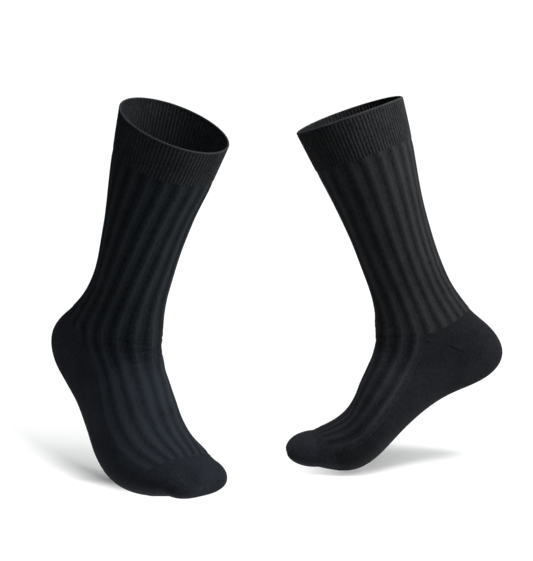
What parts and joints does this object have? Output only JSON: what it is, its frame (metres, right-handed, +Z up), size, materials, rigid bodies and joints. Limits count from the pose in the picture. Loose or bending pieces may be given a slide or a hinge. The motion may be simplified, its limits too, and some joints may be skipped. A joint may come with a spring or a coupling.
{
  "type": "pair of ribbed mid-calf socks",
  "caption": "Pair of dark ribbed mid-calf dress socks, filled out and empty, each on tiptoe with an open cuff.",
  "frame": {"origin": "middle of the left sock's ankle, where the wearer's foot holds it up", "axes": "+Z up, +X from the left sock towards the right sock, +Y away from the viewer of the picture"},
  "size_m": [0.4704, 0.2536, 0.3905],
  "materials": {
    "cuff_rib": "matte fine rib knit",
    "wide_rib": "matte wide rib knit",
    "plain_knit": "matte plain knit"
  },
  "bodies": {
    "root": {"left_cuff": "cuff_rib", "left_leg": "wide_rib", "left_heel": "plain_knit", "left_instep": "wide_rib", "left_sole": "plain_knit", "left_toe": "plain_knit", "right_cuff": "cuff_rib", "right_leg": "wide_rib", "right_heel": "plain_knit", "right_instep": "wide_rib", "right_sole": "plain_knit", "right_toe": "plain_knit"}
  },
  "joints": []
}
